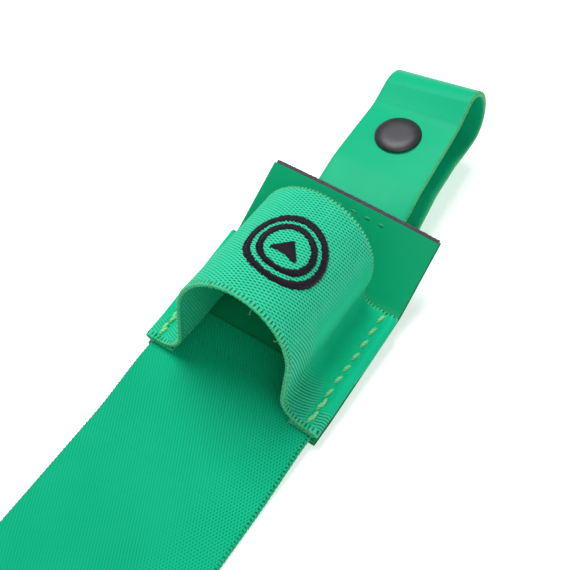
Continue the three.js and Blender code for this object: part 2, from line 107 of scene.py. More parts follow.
SLEEVE_BAND = 39.4
SLEEVE_THICKNESS = 1.1
SLEEVE_LEAN = 0.14
SLEEVE_SETBACK = 0.3
SLEEVE_HEIGHT = (39.6, 36.6)
CREST_RADIUS = (16.0, 16.6)
FOOT_RADIUS = (6.5, 4.6)
PINCH = (2.0, 13.0)           # how far the flanks lean in, in degrees
STRAP_STEP = (0.38, 0.6)      # where the sleeve's feet step down off the strap
FLANGE_EDGE = 25.6
UNDERLAP = 7.5
UNDER_TURN = (SLEEVE_THICKNESS + GAP) / 2
SEAM_X = 23.0
SEAM_INSET = 1.0

LOOP_WIDTH = 27.8
LOOP_THICKNESS = 1.6
LOOP_TWIST = math.radians(13.5)
TAIL_ROLL = math.radians(2)
TAIL_SHIFT = 2.2
LOOP_SHIFT = (1.2, -1.3)
LIP_SLOT = LOOP_THICKNESS / 2 + 0.55
FOLD_Y = 103.6
FOLD_Z = 17.1
FOLD_RADIUS = 6.9
FOLD_START = math.radians(110)
FOLD_RISE = (96.6, 21.3)
CROWN_END = 72.0
SEWN_STATIONS = (47, 52, 58, 64)
RISE_POINT = (68.5, 18.7)
SNAP_REACHES = (-9, 0, 8)
TAIL_END = ((72, 9.6), (62, 5.6), (51, 2.7), (45.5, 1.6))

SNAP_X, SNAP_Y, SNAP_Z = -0.9, 84.9, 19.7
SNAP_ROLL = math.radians(6)
SNAP_PITCH = math.radians(3)
PLY_SPACING = 7.3
CAP_RADIUS = 6.5
RIM_RADIUS = 6.42
SPRING_RADIUS = 3.05

STITCH_PITCH = 4.2
LOOP_SEAM_LENGTH = 25.2
LOOP_SEAM_INSETS = (3.8, 11.5)  # below the lip's edge
HEM_SEAM_LENGTH = 44.0
HEM_SEAM_INSETS = (3.0, 11.0)   # from the strap's end
CROSS_SEAM_LENGTH = 30.0
CROSS_SEAM_Y = 7.0

KNIT_WAVES = (0.52, 1.18)     # the sleeve's diagonal ribs per millimetre, along and across
WEAVE_WAVES = (1.2, 0.61)     # the strap's diagonal ribs per millimetre, across and along
EDGE_PITCH = 1.08             # of the selvedges' loops
EDGE_RADIUS = 0.11            # of the thread in the strap's selvedges


# ---- shapes --------------------------------------------------------------------------------
def smooth(x, a, b):
    t = np.clip((np.asarray(x, float) - a) / (b - a), 0, 1)
    return t * t * (3 - 2 * t)


def mix(pair, t):
    return pair[0] + (pair[1] - pair[0]) * t


def panel_line(s):
    """(y, z, slope) of the panel's underside at a distance s along it."""
    s = np.asarray(s, float)
    middle = np.clip(s - PANEL_FLAT, 0, PANEL_CREASE - PANEL_FLAT)
    lip = np.maximum(0, s - PANEL_CREASE)
    turned = np.minimum(lip, LIP_BEND)
    turn = turned * turned / (2 * LIP_BEND) + np.maximum(0, lip - LIP_BEND)
    start = middle + lip - turn
    y = np.minimum(s, PANEL_FLAT) + start * math.cos(PANEL_PITCH) + turn * math.cos(LIP_PITCH)
    z = start * math.sin(PANEL_PITCH) + turn * math.sin(LIP_PITCH)
    foot = PANEL_PITCH * smooth(s, PANEL_FLAT - 1.5, PANEL_FLAT + 1.5)
    return y, z, foot + (LIP_PITCH - PANEL_PITCH) * turned / LIP_BEND


def panel_point(x, s, h):
    """A point at x across, s along and h above the panel's underside."""
    y, z, slope = panel_line(s)
    along = smooth(s, PANEL_CREASE, PANEL_END)
    lift = h + LIP_CROWN * along * (1 - (2 * x / PANEL_WIDTH) ** 2)
    x, y, z = np.broadcast_arrays(x, y - lift * np.sin(slope), z + lift * np.cos(slope))
    return np.stack([x, y, z], axis=-1)


def strap_base(y):
    return STRAP_BASE * (1 - smooth(-y, 2, STRAP_SETTLE))


def sleeve_parts(t):
    """The omega section at t (0 at the mouth, 1 at the rear) as (radius, turn, length, cells)."""
    crest, foot = mix(CREST_RADIUS, t), mix(FOOT_RADIUS, t)
    pinch = math.radians(mix(PINCH, t))
    strap = (STRAP_THICKNESS + GAP) * (1 - float(smooth(t, *STRAP_STEP)))
    seat = PANEL_THICKNESS + strap + SLEEVE_THICKNESS * 1.5 + 2 * GAP
    height = mix(SLEEVE_HEIGHT, t)
    base = float(panel_line(t * SLEEVE_BAND)[1]) + seat
    flank = (height - base - (crest + foot) * (1 + math.sin(pinch))) / math.cos(pinch)
    foot_x = (crest + foot) * math.cos(pinch) - flank * math.sin(pinch)
    parts = (
        (-crest, math.pi / 2 + pinch, 0, 9),
        (0, 0, flank, 2),
        (foot, math.pi / 2 + pinch, 0, 5),
        (0, 0, FLANGE_EDGE - foot_x, 2),
        (-UNDER_TURN, math.pi, 0, 4),
        (0, 0, UNDERLAP, 2),
    )
    return parts, height, base


SECTION_CELLS = 24            # cells of half a section, as sleeve_parts gives them
FLANGE_CELLS = (16, 18)       # the flat stretch that is sewn down


def sleeve_section(t, cells):
    """x, z, heading and length along half the section, at cell numbers that need not be whole."""
    parts, height, base = sleeve_parts(t)
    x, z, heading, length = 0.0, height, 0.0, 0.0
    out = np.zeros((4, len(cells)))
    first = 0
    for radius, turn, straight, count in parts:
        inside = (cells >= first) & (cells <= first + count)
        share = np.append((cells[inside] - first) / count, 1.0)
        if radius:
            bend = math.copysign(1, radius) * turn * share
            px = x + radius * (np.sin(heading + bend) - math.sin(heading))
            pz = z - radius * (np.cos(heading + bend) - math.cos(heading))
            run = abs(radius) * turn * share
        else:
            bend = 0 * share
            px = x + straight * share * math.cos(heading)
            pz = z + straight * share * math.sin(heading)
            run = straight * share
        out[:, inside] = px[:-1], pz[:-1], (heading + bend)[:-1], (length + run)[:-1]
        x, z, heading, length = px[-1], pz[-1], heading + bend[-1], length + run[-1]
        first += count
    return out, base


def band_y(t):
    return SLEEVE_SETBACK + panel_line(t * SLEEVE_BAND)[0]


def sleeve_points(cells, t, h):
    """Points of the sleeve at signed cell numbers, t along the band and h above its middle."""
    (x, z, heading, length), base = sleeve_section(t, np.abs(cells))
    side = np.where(cells < 0, -1.0, 1.0)
    y = band_y(t) + SLEEVE_LEAN * np.maximum(0, z - base)
    px = side * (x - h * np.sin(heading))
    return np.stack([px, y + 0 * px, z + h * np.cos(heading)], axis=-1), side * length


def spline(points, count):
    """A uniform Catmull-Rom curve through the points."""
    points = np.array(points, float)
    last = len(points) - 1
    out = []
    for p in np.linspace(0, last, count):
        i = min(int(p), last - 1)
        w = p - i
        p0, p1 = points[max(i - 1, 0)], points[i]
        p2, p3 = points[i + 1], points[min(i + 2, last)]
        v0, v1 = (p2 - p0) / 2, (p3 - p1) / 2
        cubic, square = 2 * (p1 - p2) + v0 + v1, 3 * (p2 - p1) - 2 * v0 - v1
        out.append(cubic * w**3 + square * w**2 + v0 * w + p1)
    return np.array(out)


# ---- meshes --------------------------------------------------------------------------------
def make_object(name, vertices, faces, material, cloth=None, spots=None, smooth_angle=50):
    """An object from points in millimetres. cloth gives each vertex's place on the flat cloth."""
    points = np.array(vertices, float).reshape(-1, 3)
    points = (points - (0, REST_Y, 0)) * MM
    mesh = bpy.data.meshes.new(name)
    mesh.from_pydata(points.tolist(), [], [list(map(int, f)) for f in faces])
    if cloth is not None:
        layer = mesh.attributes.new("cloth", "FLOAT_VECTOR", "POINT")
        layer.data.foreach_set("vector", np.asarray(cloth, np.float32).reshape(-1))
    materials = material if isinstance(material, (list, tuple)) else [material]
    for m in materials:
        mesh.materials.append(m)
    if spots is not None:
        mesh.polygons.foreach_set("material_index", np.asarray(spots, np.int32))
    mesh.shade_smooth()
    mesh.set_sharp_from_angle(angle=math.radians(smooth_angle))
    mesh.update()
    piece = bpy.data.objects.new(name, mesh)
    bpy.context.scene.collection.objects.link(piece)
    return piece


def slab_ring(xs, corner):
    """The upper half of a rounded section: columns and their share of the half thickness."""
    turns = np.radians((15, 40, 65))
    left = xs[0] - corner * np.cos(turns)
    right = xs[-1] + corner * np.cos(turns[::-1])
    columns = np.concatenate([left, xs, right])
    share = np.concatenate([np.sin(turns), np.ones(len(xs)), np.sin(turns[::-1])])
    return columns, share


def closed_faces(rows, count):
    """Faces of a sheet of closed rings, and how many of them are not in its two end caps.

    Each ring runs over the top from left to right and back underneath.
    """
    index = np.arange(rows * count).reshape(rows, count)
    after = np.roll(index, -1, axis=1)
    sides = np.stack([index[:-1], after[:-1], after[1:], index[1:]], axis=-1).reshape(-1, 4)
    k = np.arange(count // 2 - 1)
    caps = []
    for row in (0, rows - 1):
        a, b = index[row, k], index[row, k + 1]
        c, d = index[row, count - 2 - k], index[row, count - 1 - k]
        caps.append(np.stack([a, d, c, b] if row == 0 else [a, b, c, d], axis=-1))
    return np.concatenate([sides, *caps]), len(sides)


def slab(name, xs, stations, half, place, material, relief=None, strength=None, corner=0.3,
         rim_material=None, ends=(0.55, 0.9), cloth_start=0.0):
    """A closed, round-edged sheet. place(x, s, h) gives points; relief(x, s) raises them."""
    columns, share = slab_ring(np.asarray(xs, float), corner)
    stations = np.asarray(stations, float)
    step = corner * 0.5
    lengths = np.concatenate([
        [stations[0], stations[0] + step * 0.4], stations[1:-1],
        [stations[-1] - step * 0.4, stations[-1]],
    ])
    scale = np.concatenate([ends, np.ones(len(stations) - 2), ends[::-1]])
    ring = np.concatenate([columns, columns[::-1]])
    side = np.concatenate([share, -share[::-1]])
    grid_x, grid_s = np.meshgrid(ring, lengths)
    grid_side = np.broadcast_to(side, grid_x.shape)
    height = half * grid_side * scale[:, None]
    if relief is not None:
        height = height + np.abs(grid_side) * relief(grid_x, grid_s)
    points = place(grid_x, grid_s, height)
    count, rows = len(ring), len(lengths)
    w = np.ones_like(grid_x) if strength is None else strength(grid_x, grid_s)
    cloth = np.stack([grid_x, grid_s + cloth_start, w], axis=-1)
    faces, side_faces = closed_faces(rows, count)
    materials = [material]
    spots = None
    if rim_material is not None:
        materials.append(rim_material)
        edge = np.zeros((rows - 1, count), int)
        middle = count // 2
        edge[:, :3] = edge[:, middle - 4:middle + 3] = edge[:, -4:] = 1
        spots = np.concatenate([edge.reshape(-1), np.ones(len(faces) - side_faces, int)])
    return make_object(name, points, faces, materials, cloth, spots)


def tubes(name, paths, radius, material, sides=6, taper=0.7):
    """One mesh of many threads, each swept along its own path and closed at its ends."""
    vertices, faces, cloth = [], [], []
    angles = np.linspace(0, 2 * math.pi, sides, endpoint=False)
    for number, path in enumerate(paths):
        path = np.asarray(path, float)
        tangent = np.gradient(path, axis=0)
        tangent /= np.linalg.norm(tangent, axis=1)[:, None]
        across = np.cross(tangent, (0.31, 0.21, 0.93))
        across /= np.linalg.norm(across, axis=1)[:, None]
        up = np.cross(across, tangent)
        share = np.linspace(-1, 1, len(path))
        width = radius * (1 - (1 - taper) * share**4)
        ring = (
            path[:, None]
            + width[:, None, None] * np.cos(angles)[None, :, None] * across[:, None]
            + width[:, None, None] * np.sin(angles)[None, :, None] * up[:, None]
        )
        base = len(vertices)
        run = np.concatenate([[0], np.cumsum(np.linalg.norm(np.diff(path, axis=0), axis=1))])
        for row, length in zip(ring, run):
            vertices.extend(row)
            cloth.extend((a / (2 * math.pi), length, number) for a in angles)
        for j in range(len(path) - 1):
            for k in range(sides):
                a, b = base + j * sides + k, base + j * sides + (k + 1) % sides
                faces.append((a, a + sides, b + sides, b))
        faces.append(tuple(base + k for k in range(sides)))
        last = base + (len(path) - 1) * sides
        faces.append(tuple(last + k for k in reversed(range(sides))))
    return make_object(name, vertices, faces, material, cloth)


def at_snap(x, y, z):
    """A point given from the press stud's centre, with z along its axis."""
    seat = (
        Matrix.Translation((SNAP_X, SNAP_Y, SNAP_Z))
        @ Matrix.Rotation(SNAP_PITCH, 4, "X")
        @ Matrix.Rotation(-SNAP_ROLL, 4, "Y")
    )
    return tuple(seat @ Vector((x, y, z)))


def lathed(name, profile, material, segments=72, bead=0.12):
    """A turned part on the press stud's axis, its corners eased by a small bevel."""
    profile = np.array(profile, float)
    corners = []
    for k, p in enumerate(profile):
        if 0 < k < len(profile) - 1:
            for other in (profile[k - 1], profile[k + 1]):
                way = other - p
                reach = min(bead, 0.4 * np.linalg.norm(way))
                corners.append(p + way / np.linalg.norm(way) * reach)
        else:
            corners.append(p)
    rows = len(corners)
    vertices, faces = [], []
    for r, z in corners:
        for k in range(segments):
            a = 2 * math.pi * k / segments
            reach = max(r, 0.01)
            vertices.append(at_snap(reach * math.cos(a), reach * math.sin(a), z))
    for j in range(rows - 1):
        for k in range(segments):
            a, b = j * segments + k, j * segments + (k + 1) % segments
            faces.append((a, b, b + segments, a + segments))
    faces.append(tuple(reversed(range(segments))))
    faces.append(tuple((rows - 1) * segments + k for k in range(segments)))
    return make_object(name, vertices, faces, material, smooth_angle=40)


# ---- materials -----------------------------------------------------------------------------
def linear(red, green, blue):
    """A shader colour from screen values between 0 and 255."""
    out = []
    for value in (red, green, blue):
        c = value / 255
        out.append(c / 12.92 if c <= 0.04045 else ((c + 0.055) / 1.055) ** 2.4)
    return (*out, 1.0)


class Nodes:
    """A small wrapper that makes shader nodes and links them."""

    def __init__(self, name, roughness, metallic=0.0, specular=0.5, sheen=0.0):
        self.material = bpy.data.materials.new(name)
        self.material.use_nodes = True
        self.tree = self.material.node_tree
        self.shader = next(n for n in self.tree.nodes if n.type == "BSDF_PRINCIPLED")
        self.shader.inputs["Roughness"].default_value = roughness
        self.shader.inputs["Metallic"].default_value = metallic
        self.shader.inputs["Specular IOR Level"].default_value = specular
        self.shader.inputs["Sheen Weight"].default_value = sheen

    def put(self, socket, value):
        if isinstance(value, bpy.types.NodeSocket):
            self.tree.links.new(value, socket)
        else:
            socket.default_value = value

    def math(self, operation, a, b=0.0, c=0.0):
        node = self.tree.nodes.new("ShaderNodeMath")
        node.operation = operation
        for socket, value in zip(node.inputs, (a, b, c)):
            self.put(socket, value)
        return node.outputs[0]

    def wave(self, phase):
        """0 to 1 and back, once for each whole step of phase; 1 at whole numbers."""
        turn = self.math("MULTIPLY", phase, 2 * math.pi)
        return self.math("MULTIPLY_ADD", self.math("COSINE", turn), 0.5, 0.5)

    def step(self, value, low, high):
        node = self.tree.nodes.new("ShaderNodeMapRange")
        node.interpolation_type = "SMOOTHSTEP"
        self.put(node.inputs["Value"], value)
        node.inputs["From Min"].default_value = low
        node.inputs["From Max"].default_value = high
        return node.outputs["Result"]

    def cloth(self):
        """The cloth attribute's three numbers."""
        node = self.tree.nodes.new("ShaderNodeAttribute")
        node.attribute_name = "cloth"
        split = self.tree.nodes.new("ShaderNodeSeparateXYZ")
        self.tree.links.new(node.outputs["Vector"], split.inputs[0])
        return split.outputs[0], split.outputs[1], split.outputs[2]

    def noise(self, scale, detail=3.0):
        node = self.tree.nodes.new("ShaderNodeTexNoise")
        node.inputs["Scale"].default_value = scale
        node.inputs["Detail"].default_value = detail
        place = self.tree.nodes.new("ShaderNodeTexCoord").outputs["Object"]
        self.tree.links.new(place, node.inputs["Vector"])
        return node.outputs["Fac"]

    def mix(self, factor, a, b):
        node = self.tree.nodes.new("ShaderNodeMix")
        self.put(node.inputs["Factor"], factor)
        self.put(node.inputs[2], a)
        self.put(node.inputs[3], b)
        return node.outputs[0]

    def blend(self, factor, a, b):
        node = self.tree.nodes.new("ShaderNodeMix")
        node.data_type = "RGBA"
        self.put(node.inputs["Factor"], factor)
        self.put(node.inputs[6], a)
        self.put(node.inputs[7], b)
        return node.outputs[2]

    def finish(self, color, height=None, distance=0.0001, strength=0.6, rough=None):
        self.put(self.shader.inputs["Base Color"], color)
        if rough is not None:
            self.put(self.shader.inputs["Roughness"], rough)
        if height is not None:
            bump = self.tree.nodes.new("ShaderNodeBump")
            bump.inputs["Strength"].default_value = strength
            bump.inputs["Distance"].default_value = distance
            self.put(bump.inputs["Height"], height)
            self.tree.links.new(bump.outputs["Normal"], self.shader.inputs["Normal"])
        return self.material


def diagonals(n, u, v, waves):
    """The two families of diagonal ribs, each 1 along its grooves."""
    rising = n.math("MULTIPLY_ADD", v, waves[1], n.math("MULTIPLY", u, waves[0]))
    falling = n.math("MULTIPLY_ADD", v, -waves[1], n.math("MULTIPLY", u, waves[0]))
    return n.wave(rising), n.wave(falling)


def ladder(n, edge, along, near, far):
    """Dark slots in a row beside an edge."""
    band = n.math("MULTIPLY", n.step(edge, near, near + 0.2), n.step(edge, far, far - 0.35))
    rungs = n.step(n.wave(n.math("DIVIDE", along, EDGE_PITCH)), 0.6, 0.9)
    return n.math("MULTIPLY", band, rungs)


def knit_material():
    """Open knit: ribs cross on the crest and leave holes, and run one way down each flank."""
    n = Nodes("sleeve_knit", 0.72, specular=0.06, sheen=0.03)
    u, v, open_share = n.cloth()
    rising, falling = diagonals(n, u, v, KNIT_WAVES)
    on_right = n.step(u, -5.0, 5.0)
    main = n.mix(on_right, rising, falling)
    other = n.mix(on_right, falling, rising)
    on_crest = n.step(n.math("ABSOLUTE", u), 26.0, 12.0)
    grooves = n.math("MULTIPLY", main, n.mix(on_crest, 0.75, other))
    holes = n.step(n.math("MULTIPLY_ADD", n.noise(500.0), 0.3, grooves), 0.36, 0.9)
    holes = n.math("MULTIPLY", holes, open_share)
    edge = n.math("MINIMUM", v, n.math("MULTIPLY_ADD", v, -1.0, SLEEVE_BAND + 0.7))
    slots = ladder(n, edge, u, 0.3, 1.6)
    dark = n.math("MAXIMUM", n.math("MULTIPLY", holes, n.step(edge, 1.4, 1.9)), slots)
    tone = n.math("MULTIPLY_ADD", n.noise(260.0), 0.5, 0.25)
    closed = n.blend(tone, linear(4, 178, 128), linear(16, 194, 145))
    opened = n.blend(tone, linear(36, 194, 148), linear(66, 212, 168))
    light = n.blend(n.step(open_share, 0.0, 0.8), closed, opened)
    sunk = n.math("MULTIPLY", n.math("MULTIPLY", main, open_share), 0.34)
    shaded = n.blend(sunk, light, linear(0, 150, 102))
    color = n.blend(n.math("MULTIPLY", dark, 0.85), shaded, linear(0, 96, 60))
    fibres = n.math("MULTIPLY", n.noise(2600.0), 0.3)
    return n.finish(color, n.math("SUBTRACT", fibres, dark), distance=0.0002)


def weave_material():
    """Woven elastic: diagonal ribs, crossed into open stitches towards one selvedge."""
    n = Nodes("strap_weave", 0.6, specular=0.05, sheen=0.02)
    u, v, open_share = n.cloth()
    main, other = diagonals(n, u, v, WEAVE_WAVES)
    grooves = n.math("MULTIPLY", main, n.mix(open_share, 0.8, other))
    # Painted shade: the ribs' grooves are darkened below, unevenly across the strap by this noise.
    uneven_groove_shade = n.math("MULTIPLY_ADD", n.noise(38.0), 1.1, 0.1)
    dots = n.math("MULTIPLY", n.step(n.math("MULTIPLY", main, other), 0.5, 0.95), open_share)
    edge = n.math("SUBTRACT", STRAP_WIDTH / 2, u)
    slots = ladder(n, edge, v, 0.2, 1.1)
    light = n.blend(n.noise(24.0), linear(0, 164, 118), linear(14, 186, 138))
    sunk = n.math("MULTIPLY", n.math("MULTIPLY", grooves, uneven_groove_shade), 0.75)
    shaded = n.blend(sunk, light, linear(0, 120, 80))
    dark = n.math("MAXIMUM", n.math("MULTIPLY", dots, 0.5), slots)
    color = n.blend(dark, shaded, linear(0, 84, 54))
    lowered = n.math("MULTIPLY", n.math("ADD", grooves, dark), -0.6)
    height = n.math("MULTIPLY_ADD", n.noise(3000.0), 0.35, lowered)
    return n.finish(color, height, distance=0.00018)


def vinyl_material(name, low, high, roughness, scale=40.0):
    n = Nodes(name, roughness, specular=0.1)
    color = n.blend(n.noise(scale), low, high)
    waves = n.math("MULTIPLY", n.noise(420.0), 0.6)
    grain = n.math("MULTIPLY_ADD", n.noise(2400.0, 2.0), 0.5, waves)
    rough = n.math("MULTIPLY_ADD", n.noise(180.0), 0.16, roughness - 0.08)
    return n.finish(color, grain, distance=0.00004, strength=0.35, rough=rough)


def felt_material():
    n = Nodes("core_felt", 0.95, specular=0.1, sheen=0.3)
    color = n.blend(n.noise(900.0, 5.0), linear(48, 48, 56), linear(98, 94, 102))
    return n.finish(color, n.noise(1900.0, 5.0), distance=0.0004, strength=0.8)


def thread_material(name, low, high, roughness=0.6, twist=1.3):
    n = Nodes(name, roughness, specular=0.12, sheen=0.03)
    around, along, _ = n.cloth()
    ply = n.wave(n.math("ADD", n.math("MULTIPLY", around, 2.0), n.math("MULTIPLY", along, twist)))
    spread = n.math("MULTIPLY_ADD", n.noise(700.0), 0.6, n.math("MULTIPLY", ply, 0.5))
    color = n.blend(spread, low, high)
    return n.finish(color, ply, distance=0.00012, strength=0.7)


def metal_material(name, low, high, roughness, metallic):
    n = Nodes(name, roughness, metallic=metallic, specular=0.5)
    color = n.blend(n.noise(260.0), low, high)
    rough = n.math("MULTIPLY_ADD", n.noise(900.0), 0.14, roughness - 0.07)
    return n.finish(color, n.noise(3200.0, 2.0), distance=0.00002, strength=0.25, rough=rough)


KNIT = knit_material()
WEAVE = weave_material()
LOOP_VINYL = vinyl_material("loop_vinyl", linear(4, 166, 118), linear(14, 180, 131), 0.45)
LOOP_EDGE = vinyl_material("loop_edge", linear(36, 158, 100), linear(84, 182, 116), 0.6, 300.0)
PANEL_VINYL = vinyl_material("panel_vinyl", linear(0, 140, 93), linear(0, 154, 105), 0.45)
PANEL_EDGE = vinyl_material("panel_edge", linear(0, 130, 84), linear(30, 156, 104), 0.6, 300.0)
FELT = felt_material()
THREAD = thread_material("seam_thread", linear(70, 190, 128), linear(150, 222, 158))
BURIED = thread_material("buried_thread", linear(0, 144, 96), linear(42, 172, 120))
LIME = thread_material("selvedge_thread", linear(70, 186, 120), linear(150, 206, 140))
DEEP_THREAD = thread_material("strap_selvedge_thread", linear(6, 150, 104), linear(96, 192, 134))
EMBLEM_THREAD = thread_material("emblem_thread", linear(12, 12, 20), linear(44, 34, 48), 0.5, 1.0)
GUNMETAL = metal_material("gunmetal", linear(44, 44, 48), linear(56, 56, 60), 0.42, 0.4)
# Painted shadow: a near-black material for the ring that stands in for the contact shadow round the
# press stud's cap.
RIM_SHADOW = metal_material("rim_painted_shadow", linear(16, 16, 18), linear(26, 26, 28), 0.5, 0.2)
SPRING = metal_material("spring_wire", linear(150, 150, 155), linear(180, 180, 186), 0.3, 1.0)


# ---- panel ---------------------------------------------------------------------------------
FELT_SHOWS = 1.15             # the core shows this far past the face at the lip's edge


def build_panel():
    half_width = PANEL_WIDTH / 2
    rng = np.random.default_rng(4)
    fray = rng.uniform(-1, 1, 200)
    fray_x = np.linspace(-27, 27, len(fray))

    def layer(name, bottom, thickness, trim, lip_trim, material, rim, fuzz=0.0):
        middle = bottom + thickness / 2
        xs = np.linspace(-half_width + trim + 0.2, half_width - trim - 0.2, 121)
        flat = np.linspace(trim, PANEL_CREASE, 36)
        lip = np.linspace(PANEL_CREASE + 0.8, PANEL_END - lip_trim, 34)
        stations = np.concatenate([flat, lip])

        def place(x, s, h):
            rough = fuzz * np.interp(x, fray_x, fray) * (s > PANEL_END - 2)
            swell = 0.12 * np.sin(x / 9 + 1) * np.sin(s / 11)
            return panel_point(x, s + rough, middle + h + swell * smooth(s, 38, 50))

        return slab(
            name, xs, stations, thickness / 2, place, material, corner=0.2, rim_material=rim,
        )

    core = FACE_THICKNESS + GAP
    face = core + CORE_THICKNESS + GAP
    back = layer("panel_back_cloth", 0, FACE_THICKNESS, 0, 0.5, PANEL_VINYL, PANEL_EDGE)
    filled = CORE_THICKNESS + 2 * GAP
    felt = layer("panel_core_felt", core - GAP, filled, 0.35, 0.1, FELT, None, 0.1)
    front = layer("panel_face_cloth", face, FACE_THICKNESS, 0, FELT_SHOWS, PANEL_VINYL, PANEL_EDGE)
    for piece, node, slot in (
        (back, "panel_backing", "panel_vinyl"),
        (felt, "panel_core", "panel_core"),
        (front, "panel_face", "panel_vinyl"),
    ):
        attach(piece, "holder")
        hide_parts(node)


# ---- strap ---------------------------------------------------------------------------------
def strap_relief(x, s):
    """The weave's ribs and a slow waviness of the whole strap."""
    ribs = -0.06 * np.cos(2 * math.pi * (WEAVE_WAVES[0] * x + WEAVE_WAVES[1] * s))
    return ribs + 0.05 * np.sin(x / 6.0 + s / 9.0)


def strap_open(x, s):
    """How open the weave is: only towards the strap's right selvedge."""
    return smooth(x, 4, 20)


def edge_loops(y_from, y_to, point):
    """Thread loops over both edges of the strap, each a short run of (inset, drop) points."""
    paths = []
    half = STRAP_WIDTH / 2
    thick = STRAP_THICKNESS / 2
    profile = ((0.8, -0.06), (0.45, 0.04), (0.1, -0.04), (-0.04, -0.35), (0.0, -0.9), (0.4, -1.3))
    for side in (-1, 1):
        for y in np.arange(y_from, y_to, EDGE_PITCH):
            paths.append([
                point(side * (half - inset), y + 0.28 * k / 5, thick + drop)
                for k, (inset, drop) in enumerate(profile)
            ])
    return paths


def build_strap():
    half = STRAP_THICKNESS / 2
    xs = np.linspace(-STRAP_WIDTH / 2 + 0.4, STRAP_WIDTH / 2 - 0.4, 241)
    inside = panel_line(STRAP_INSIDE)[0]

    def upper_place(x, s, h):
        y, z, slope = panel_line(np.maximum(s, 0))
        y = np.where(s < 0, s, y)
        lift = STRAP_BASE + half + h
        rise = strap_base(np.minimum(s, 0)) + half + h
        z = np.where(s < 0, rise, z + lift * np.cos(slope))
        y = np.where(s < 0, y, y - lift * np.sin(slope))
        return np.stack([x, y, z], axis=-1)

    def point(x, y, h):
        return (x, y, float(strap_base(min(y, 0))) + half + h)

    upper = slab(
        "strap_upper_cloth", xs, np.arange(STRAP_JOIN_Y, inside + 0.1, 0.45), half, upper_place,
        WEAVE, relief=strap_relief, strength=strap_open, corner=0.4, ends=(1.0, 1.0),
    )
    # The lower piece ends in a hem: its line turns over and comes back on top of itself.
    turn = (STRAP_THICKNESS + GAP) / 2
    flat = np.linspace(STRAP_JOIN_Y, STRAP_END_Y + turn, 160)
    bend = np.linspace(0, math.pi, 10)[1:]
    back = np.linspace(STRAP_END_Y + turn, STRAP_END_Y + HEM_LENGTH, 30)[1:]
    line_y = np.concatenate([flat, STRAP_END_Y + turn - turn * np.sin(bend), back])
    line_z = np.concatenate([strap_base(flat), turn * (1 - np.cos(bend)), 2 * turn + 0 * back])
    run = np.concatenate([[0], np.cumsum(np.hypot(np.diff(line_y), np.diff(line_z)))])
    way_y, way_z = np.gradient(line_y, run), np.gradient(line_z, run)

    def lower_place(x, s, h):
        d = run[-1] - s
        y, z = np.interp(d, run, line_y), np.interp(d, run, line_z)
        ty, tz = np.interp(d, run, way_y), np.interp(d, run, way_z)
        return np.stack([x, y + h * tz, z + half - h * ty], axis=-1)

    def lower_relief(x, s):
        return strap_relief(x, s - run[-1] + STRAP_JOIN_Y)

    lower = slab(
        "strap_lower_cloth", xs, (run[-1] - run)[::-1], half, lower_place, WEAVE,
        relief=lower_relief, strength=strap_open, corner=0.4, ends=(1.0, 1.0),
        cloth_start=STRAP_JOIN_Y - run[-1],
    )
    upper_loops = edge_loops(STRAP_JOIN_Y + 0.3, -0.6, point)
    lower_loops = edge_loops(STRAP_END_Y + 1.2, STRAP_JOIN_Y, point)
    loops_upper = tubes("strap_edge_upper", upper_loops, EDGE_RADIUS, DEEP_THREAD)
    loops_lower = tubes("strap_edge_lower", lower_loops, EDGE_RADIUS, DEEP_THREAD)
    bend_y, fold_y = STRAP_BEND_Y - REST_Y, STRAP_FOLD_Y - REST_Y
    bend_start, bend_end = (0, (bend_y + 1.0) * MM, 0.003), (0, (bend_y - 4) * MM, 0.003)
    fold_start, fold_end = (0, (fold_y + 3) * MM, 0.0006), (0, (fold_y - 3) * MM, 0.0006)
    for piece in (upper, loops_upper):
        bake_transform(piece)
        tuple(bend_start)
        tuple(bend_end)
    for piece in (lower, loops_lower):
        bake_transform(piece)
        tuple(fold_start)
        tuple(fold_end)
    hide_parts("strap_anchor", "strap_mid")
    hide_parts("strap_end")


# ---- sleeve --------------------------------------------------------------------------------
def knit_open(length, reach, t):
    """How open the knit is: wide on the crest and near the mouth, closed at the ironed feet."""
    v = t * SLEEVE_BAND
    crest = 1 - smooth(np.abs(length), 15, 25)
    front = 0.75 * (1 - smooth(v, 8, 16)) * (1 - smooth(reach, 15.5, 16.5))
    corner = 0.8 * (1 - smooth(v, 5, 8)) * smooth(reach, 16.9, 17.3)
    left = np.where(length < 0, 0.6 + 0.4 * smooth(length, -14, -2), 1.0)
    return np.clip(np.maximum(np.maximum(crest * 0.95, front), corner) * left, 0, 1)


def knit_relief(length, v, openness):
    """Grooves between the knit's ribs, as deep as the knit is open."""
    a = 2 * math.pi * (KNIT_WAVES[0] * length + KNIT_WAVES[1] * v)
    b = 2 * math.pi * (KNIT_WAVES[0] * length - KNIT_WAVES[1] * v)
    on_right = smooth(length, -5, 5)
    main = 0.5 + 0.5 * ((1 - on_right) * np.cos(a) + on_right * np.cos(b))
    other = 0.5 + 0.5 * (on_right * np.cos(a) + (1 - on_right) * np.cos(b))
    crest = 1 - smooth(np.abs(length), 12, 26)
    return 0.06 - 0.2 * openness * main * (1 - crest + crest * other)


